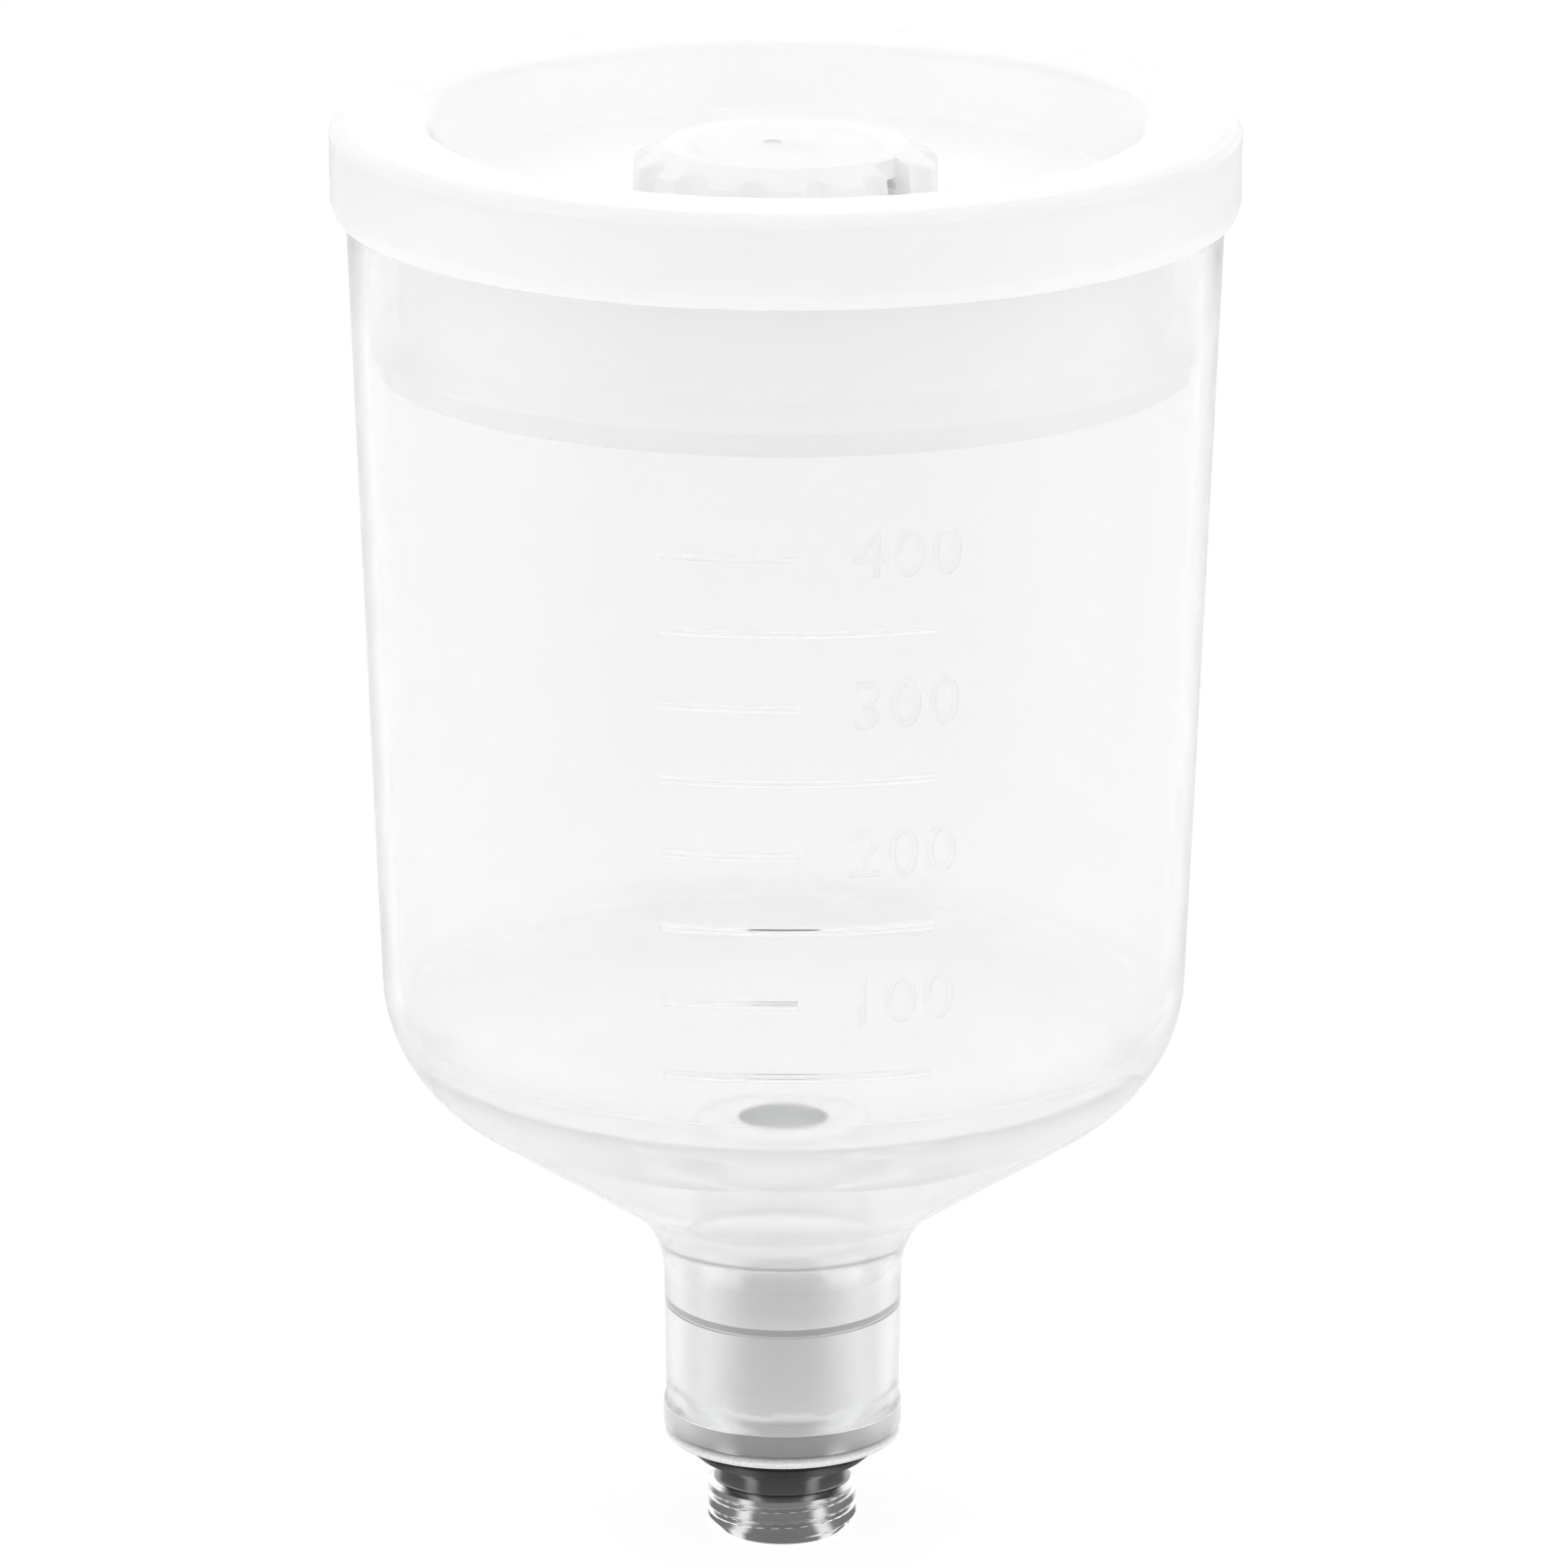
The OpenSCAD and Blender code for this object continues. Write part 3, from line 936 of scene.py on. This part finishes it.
@dataclass
class Lid:
    """The push-on lid: skirt, rim, dish, plug tube and its lip."""

    # The lid's colour is darker below 126.6 mm, on the plug's lip, as painted shade.
    finish: MouldedPlastic = MouldedPlastic(
        "lid_plastic", (0.997, 0.997, 0.997), 0.34,
        clear=((0.1376, 0.55), (0.1380, 0.3), (0.1390, 0.3), (0.1400, 0.55)),
        painted_shade=(0.985, 0.985, 0.985), painted_shade_z=(0.1266, 0.1274))
    top_z: float = 147.6
    skin: float = 1.6
    skirt_r: float = 47.65
    skirt_in_r: float = 46.55
    skirt_foot: float = 137.9
    skirt_top: float = 146.5
    skirt_lead: Pair = (0.55, 1.6)  # in from skirt_r, up from skirt_foot
    edge_low: Pair = (0.6, 0.33)  # in from skirt_r, down from top_z
    edge_top: float = 1.7
    recess_r: float = 37.8
    dish_r: float = 33.8
    dish_z: float = 141.1
    recess_round: float = 2.0
    middle_r: float = 17.2
    middle_z: float = 138.1
    under_middle_r: float = 17.34
    under_dish_r: float = 34.89
    under_rim_r: float = 38.69
    hole_r: float = 3.05
    plug_r: float = 41.4
    plug_low_r: float = 40.67
    plug_wall: float = 1.4
    plug_foot: float = 121.8
    lip_top: float = 126.9
    lip_r: float = 43.69
    lip_lead: float = 1.1
    lip_share: float = 0.55
    lip_root: float = 0.7
    vent_reach: float = 7.0
    vent_r: float = 1.2
    stop_angles: Pair = (165.0, 285.0)

    def section(self) -> list[Pair]:
        """Closed half section of the lid.

        Returns:
            The section's points.
        """
        web = self.top_z - self.skin
        lip_z = self.plug_foot + (self.lip_top - self.plug_foot) * self.lip_share
        foot_r = self.lip_r - self.lip_lead
        (lead_r, lead_z), (edge_r, edge_z) = self.skirt_lead, self.edge_low
        return rounded([
            (self.skirt_in_r, self.skirt_foot, 0.1), (self.skirt_r - lead_r, self.skirt_foot, 0.3),
            (self.skirt_r, self.skirt_foot + lead_z, 0.5), (self.skirt_r, self.skirt_top, 0.25),
            (self.skirt_r - edge_r, self.top_z - edge_z, 0.5),
            (self.skirt_r - self.edge_top, self.top_z, 0.8),
            (self.recess_r, self.top_z, self.recess_round), (self.dish_r, self.dish_z, 0.7),
            (self.middle_r, self.middle_z, 1.5), (self.hole_r, self.middle_z, 0.1),
            (self.hole_r, self.middle_z - self.skin, 0.1),
            (self.under_middle_r, self.middle_z - self.skin, 1.5),
            (self.under_dish_r, self.dish_z - self.skin, 0.6), (self.under_rim_r, web, 0.3),
            (self.plug_r - self.plug_wall, web, 0.3),
            (self.plug_low_r - self.plug_wall, self.lip_top - self.lip_root, 0.5),
            (foot_r - self.plug_wall, self.plug_foot, 0.2), (foot_r, self.plug_foot, 0.3),
            (self.lip_r, lip_z, 0.5), (self.plug_low_r, self.lip_top, 0.5),
            (self.plug_r, web, 0.3), (self.skirt_in_r, web, 0.3)], steps=6)

    def build(self) -> list[Piece]:
        """Makes the lid.

        Returns:
            The piece.
        """
        piece = lathe("lid_shell", self.section())
        stops = [prism(STOP.outline(angle), self.middle_z - STOP.root, STOP.head)
                 for angle in self.stop_angles]
        hole = prism(circle((self.vent_reach, 0), self.vent_r, 36),
                     self.middle_z - self.skin - PAST, self.middle_z + PAST)
        combine(piece, stops, Combine.JOIN)
        combine(piece, [hole], Combine.CUT)
        piece.data.materials.append(self.finish.build())
        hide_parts("lid")
        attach(piece, Body.LID.value)
        return [piece]


@dataclass
class VentCap:
    """The fluted cap that turns over the lid's air hole, with its soft seal."""

    finish: MouldedPlastic = MouldedPlastic("cap_plastic", (0.95, 0.95, 0.95), 0.36, clear=0.25)
    seal_finish: Matte = Matte("seal_rubber", (0.75, 0.75, 0.73), 0.6)
    foot_z: float = 138.4
    edge_z: float = 143.1
    top_z: float = 144.8
    radius: float = 16.0
    top_r: float = 12.6
    shoulder_rows: tuple[float, float, int] = (0.25, 0.85, 8)  # shares, and their number
    side_lap: float = 0.6
    skin: float = 1.5
    flutes: int = 14
    flute_depth: float = 1.6
    flute_lean: float = 8.0
    flute_r: float = 2.0
    flute_blend: float = 0.6
    flute_skin: float = 0.3
    flute_flare: float = 4.0  # how fast a flute ends beside its bottom
    slot_angle: float = 53.0
    slot_width: float = 5.0
    slot_edge: float = 0.4
    slot_step: float = 0.05  # keeps the slot's two blocks off one shared face
    slot_lap: float = 0.5
    stem_r: float = 3.0
    barb_reach: float = 0.7
    barb_z: Triple = (134.6, 135.8, 136.2)
    ring_z: float = 139.55
    seal_r: float = 10.2
    ring_wall: float = 1.2
    peg_reach: float = 7.0
    peg_r: float = 1.0
    peg_foot: float = 138.2
    port_r: Pair = (8.4, 10.7)
    port_z: Pair = (139.05, 140.75)
    gate_place: Pair = (-1.4, 0.7)
    gate_r: float = 1.0
    gate_depth: float = 0.3

    @property
    def ceiling(self) -> float:
        """Height of the cap's underside."""
        return self.top_z - self.skin

    @property
    def inner_r(self) -> float:
        """Radius inside the cap's side."""
        return self.radius - self.flute_depth - self.skin

    def flute(self, r: Grid, z: Grid, theta: Grid) -> Grid:
        """Cuts the finger flutes into the cap's side.

        Args:
            r: Radii.
            z: Heights.
            theta: Angles from +X.

        Returns:
            The radii with the flutes.
        """
        axis = (self.radius - self.flute_depth + self.flute_r
                - (z - self.edge_z) * tan_d(self.flute_lean))
        step = 2 * math.pi / self.flutes
        off = (theta + step / 2) % step - step / 2
        across = axis * np.sin(off)
        beyond = np.maximum(np.abs(across) - self.flute_r, 0)
        cut = (axis * np.cos(off) - np.sqrt(np.maximum(self.flute_r**2 - across**2, 0))
               + self.flute_flare * beyond)
        near = np.clip(0.5 + (cut - r) / (2 * self.flute_blend), 0, 1)
        soft = cut + (r - cut) * near - self.flute_blend * near * (1 - near)
        return np.where(r > self.inner_r + self.flute_skin, soft, r)

    def section(self) -> list[Pair]:
        """Closed half section of the cap, with its stem, barb and the rings that press the seal.

        Returns:
            The section's points.
        """
        barb_low, barb_crest, barb_top = self.barb_z
        tip, crest = self.stem_r - self.barb_reach, self.stem_r + self.barb_reach
        shoulder = [(self.radius + (self.top_r - self.radius) * t,
                     self.edge_z + (self.top_z - self.edge_z) * t, 0.0)
                    for t in np.linspace(*self.shoulder_rows)]
        ends = (self.foot_z + self.side_lap, self.edge_z - self.side_lap)
        side = [(self.radius, z, 0.0) for z in np.linspace(*ends, 4)]
        rings = [(self.stem_r + self.ring_wall, self.ring_z, self.ceiling),
                 (self.seal_r - self.ring_wall, self.ceiling, self.ring_z)]
        return rounded([
            (self.inner_r, self.foot_z, 0.1), (self.radius, self.foot_z, 0.25), *side,
            (self.radius, self.edge_z, 0.4), *shoulder, (self.top_r, self.top_z, 0.5),
            (0, self.top_z, 0), (0, barb_low, 0), (tip, barb_low, 0), (crest, barb_crest, 0.1),
            (crest, barb_top, 0.1), (self.stem_r, barb_top, 0), (self.stem_r, self.ring_z, 0),
            *[(r, z, 0) for r, *ends in rings for z in ends],
            (self.seal_r, self.ring_z, 0), (self.seal_r, self.ceiling, 0),
            (self.inner_r - self.skin, self.ceiling, 0.3),
            (self.inner_r, self.ceiling - self.skin, 0.3)], steps=5)

    def build(self) -> list[Piece]:
        """Makes the cap and gives the seal its finish.

        Returns:
            The pieces.
        """
        cap = lathe("cap_fluted", self.section(), self.flute, angles_with(count=448))
        half = math.degrees(math.asin(self.slot_width / 2 / self.radius))
        middle = self.slot_angle - 90
        ledge = self.ceiling - self.skin / 2
        side = sector(self.inner_r - PAST, self.radius + PAST, middle, half)
        shoulder = sector(self.top_r + self.slot_edge, self.radius + PAST, middle,
                          half - self.slot_step)
        gate = circle(self.gate_place, self.gate_r)
        near, far = self.port_r
        port = [(near, -self.peg_r), (far, -self.peg_r), (far, self.peg_r), (near, self.peg_r)]
        peg = circle((0, self.peg_reach), self.peg_r)
        combine(cap, [prism(STOP.outline(180), STOP.foot, self.ceiling + STOP.root),
                      prism(peg, self.peg_foot, self.ceiling + STOP.root)], Combine.JOIN)
        combine(cap, [prism(side, self.foot_z - PAST, ledge),
                      prism(shoulder, ledge - self.slot_lap, self.top_z + PAST),
                      prism(gate, self.top_z - self.gate_depth, self.top_z + PAST),
                      prism(port, *self.port_z)], Combine.CUT)
        cap.data.materials.append(self.finish.build())
        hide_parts("vent_cap")
        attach(cap, Body.VENT.value)
        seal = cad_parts["vent_seal"]
        seal.data.materials.clear()
        seal.data.materials.append(self.seal_finish.build())
        return [cap, seal]


# ---- studio


@dataclass
class Studio:
    """White surroundings, two softboxes and the camera that matches the photograph.

    Each light curve holds pairs of an angle from the front, in degrees, and the strength there.
    """

    focal_px: float = 10400
    picture_px: float = 1600
    sensor: float = 36
    clip: Pair = (0.05, 20)
    elevation: float = 16.0
    distance: float = 1083.3
    aim_z: float = 75.15
    roll: float = 0.15
    box_angles: Pair = (-75, 75)
    box_size: Pair = (0.9, 1.3)
    box_reach: float = 0.8
    box_z: float = 0.45
    box_aim_z: float = 0.08
    box_power: float = 1.5
    curve_top: float = 2.0
    world_light: Curve = ((0, 0.25), (38, 0.3), (60, 0.7), (85, 0.9), (140, 1.1), (180, 1.45))
    floor_light: Curve = ((0, 0.16), (37, 0.18), (55, 0.34), (75, 0.45), (95, 0.68), (180, 0.9))
    # Glow that bare metal mirrors from the floor near the spigot: a painted shadow, with a bright
    # strip at 42 to 52 degrees that the thread mirrors as its highlight.
    shadow_light: Curve = ((0, 0.02), (35, 0.03), (42, 0.95), (52, 0.95), (60, 0.05),
                           (110, 0.05), (125, 0.9), (180, 1.0))
    shadow_edge: Pair = (0.020, 0.050)
    even_light: float = 1.0
    through_floor: float = 1.03
    through_world: float = 1.15
    plastic_light: Curve = ((0, 0.15), (40, 0.2), (60, 0.42), (95, 0.9), (115, 0.75),
                            (128, 0.85), (145, 1.3), (180, 1.25))
    plastic_near: float = 1.15
    near_edge: Pair = (0.03, 0.06)
    camera_floor: float = 1.03
    camera_world: float = 1.0
    top_light: float = 1.15
    top_edge: Pair = (0.5, 0.8)
    floor_size: float = 3.0
    floor_z: float = -0.0083
    floor_color: Triple = (0.9, 0.9, 0.9)
    floor_matte: float = 0.2

    def camera(self) -> None:
        """Places the camera."""
        data = bpy.data.cameras.new("camera")
        data.sensor_width = self.sensor
        data.lens = self.focal_px / self.picture_px * self.sensor
        data.clip_start, data.clip_end = self.clip
        e = math.radians(self.elevation)
        back = Vector((0, -math.cos(e), math.sin(e)))
        place = Vector((0, 0, self.aim_z)) * MM + back * self.distance * MM
        turn = (-back).to_track_quat("-Z", "Y").to_matrix().to_4x4()
        cam = stand("camera", data)
        cam.matrix_world = (Matrix.Translation(place) @ turn
                            @ Matrix.Rotation(math.radians(self.roll), 4, "Z"))
        bpy.context.scene.camera = cam

    def softboxes(self) -> None:
        """Places the two softboxes."""
        for i, angle in enumerate(self.box_angles):
            light = bpy.data.lights.new(f"softbox_{i}", "AREA")
            light.shape, (light.size, light.size_y) = "RECTANGLE", self.box_size
            light.energy = self.box_power
            box = stand(light.name, light)
            a = math.radians(angle)
            place = Vector((math.sin(a) * self.box_reach, -math.cos(a) * self.box_reach,
                            self.box_z))
            aim = Vector((0, 0, self.box_aim_z)) - place
            box.location = place
            box.rotation_euler = aim.to_track_quat("-Z", "Y").to_euler()

    def around(self, n: Nodes, place: Socket, light: Sequence[Pair]) -> Socket:
        """Strength of the surroundings by the angle from the front, left and right alike.

        Args:
            n: Node tree that gets the nodes.
            place: Direction or place, as X, Y and Z.
            light: The light curve.

        Returns:
            The strength.
        """
        parts = n.add("SeparateXYZ", Vector=place).outputs
        turn = n.calc("ARCTAN2", n.calc("ABSOLUTE", parts["X"]), n.calc("MULTIPLY", parts["Y"], -1))
        curve = n.add("FloatCurve", Value=n.calc("DIVIDE", turn, math.pi))
        points = curve.mapping.curves[0].points
        while len(points) < len(light):
            points.new(0.5, 0.5)
        for point, (angle, value) in zip(points, light):
            point.location = (angle / 180, value / self.curve_top)
            point.handle_type = "VECTOR"
        curve.mapping.update()
        return n.calc("MULTIPLY", curve.outputs["Value"], self.curve_top)

    def seen_by(self, n: Nodes, bare: Socket, covered: Socket, through: float,
                camera: float) -> Socket:
        """Strength for each kind of ray: plain white for the camera, and even light on matte faces.

        Args:
            n: Node tree that gets the nodes.
            bare: Strength that bare metal mirrors.
            covered: Strength that is mirrored inside the plastic.
            through: Strength that shows straight through the plastic.
            camera: Strength that the camera sees.

        Returns:
            The strength.
        """
        path = n.add("LightPath").outputs
        mirrored = n.mix(n.calc("GREATER_THAN", path["Transmission Depth"], 0.5), bare, covered)
        last: Socket | float = through
        for ray, value in (("Glossy Depth", mirrored), ("Diffuse Depth", self.even_light),
                           ("Is Camera Ray", camera)):
            last = n.mix(n.calc("GREATER_THAN", path[ray], 0.5), last, value)
        return last

    def world(self) -> None:
        """Bright sides, back and top, and a dim front where the camera stands."""
        world = bpy.data.worlds.new("studio")
        bpy.context.scene.world = world
        world.use_nodes = True
        world.cycles.sampling_method = "NONE"
        n = Nodes(world.node_tree)
        place = n.add("TexCoord").outputs["Generated"]
        height = n.add("SeparateXYZ", Vector=place).outputs["Z"]
        bare = n.mix(n.span(height, 0, 1, *self.top_edge),
                     self.around(n, place, self.world_light), self.top_light)
        covered = self.around(n, place, self.plastic_light)
        n.put(n.tree.nodes["Background"], Color=(1, 1, 1, 1),
              Strength=self.seen_by(n, bare, covered, self.through_world, self.camera_world))

    def floor(self) -> None:
        """A white floor under the spigot, with the object's faint shadow, and a painted shadow in
        the glow that bare metal mirrors near the spigot.
        """
        size, z = self.floor_size, self.floor_z
        mesh = bpy.data.meshes.new("floor")
        mesh.from_pydata([(-size, -size, z), (size, -size, z), (size, size, z), (-size, size, z)],
                         [], [(0, 1, 2, 3)])
        floor = stand("floor", mesh)
        material = bpy.data.materials.new("floor_white")
        material.use_nodes = True
        material.cycles.emission_sampling = "NONE"
        n = Nodes(material.node_tree)
        n.tree.nodes.remove(n.tree.nodes["Principled BSDF"])
        place = n.add("TexCoord").outputs["Object"]
        away = n.add("VectorMath", operation="LENGTH", Vector=place).outputs["Value"]
        # Painted shadow: near the spigot the floor's mirrored glow is the dark shadow curve instead
        # of the floor's own.
        bare = n.mix(n.span(away, 0, 1, *self.shadow_edge),
                     self.around(n, place, self.shadow_light),
                     self.around(n, place, self.floor_light))
        covered = n.mix(n.span(away, 0, 1, *self.near_edge), self.plastic_near,
                        self.around(n, place, self.plastic_light))
        glow = n.add("Emission", Strength=self.seen_by(n, bare, covered, self.through_floor,
                                                       self.camera_floor))
        matte = n.add("BsdfDiffuse", Color=(*self.floor_color, 1))
        both = n.add("MixShader", Fac=self.floor_matte)
        n.feed(both.inputs[1], glow.outputs["Emission"])
        n.feed(both.inputs[2], matte.outputs["BSDF"])
        n.put(n.tree.nodes["Material Output"], Surface=both.outputs["Shader"])
        mesh.materials.append(material)

    def light_paths(self) -> None:
        """Lets light through all the plastic walls that stand behind each other."""
        cycles = bpy.context.scene.cycles
        cycles.max_bounces = cycles.transmission_bounces = 64
        cycles.glossy_bounces = cycles.diffuse_bounces = 32
        cycles.blur_glossy = 0

    def build(self) -> None:
        """Makes the whole studio."""
        self.camera()
        self.softboxes()
        self.world()
        self.floor()
        self.light_paths()
        bpy.context.scene.view_settings.view_transform = "Standard"


def main() -> None:
    """Builds every piece, then the studio, and logs each one."""
    logging.basicConfig(level=logging.INFO, format="%(message)s", stream=sys.stdout)
    for part in (CupBody(), Insert(), Rings(), Lid(), VentCap()):
        for piece in part.build():
            LOG.info("%s: %s, %d faces", type(part).__name__, piece.name,
                     len(piece.data.polygons))
    Studio().build()
    LOG.info("Studio: camera, softboxes, world and floor")


if __name__ == "__main__":
    main()
    bpy.context.view_layer.update()
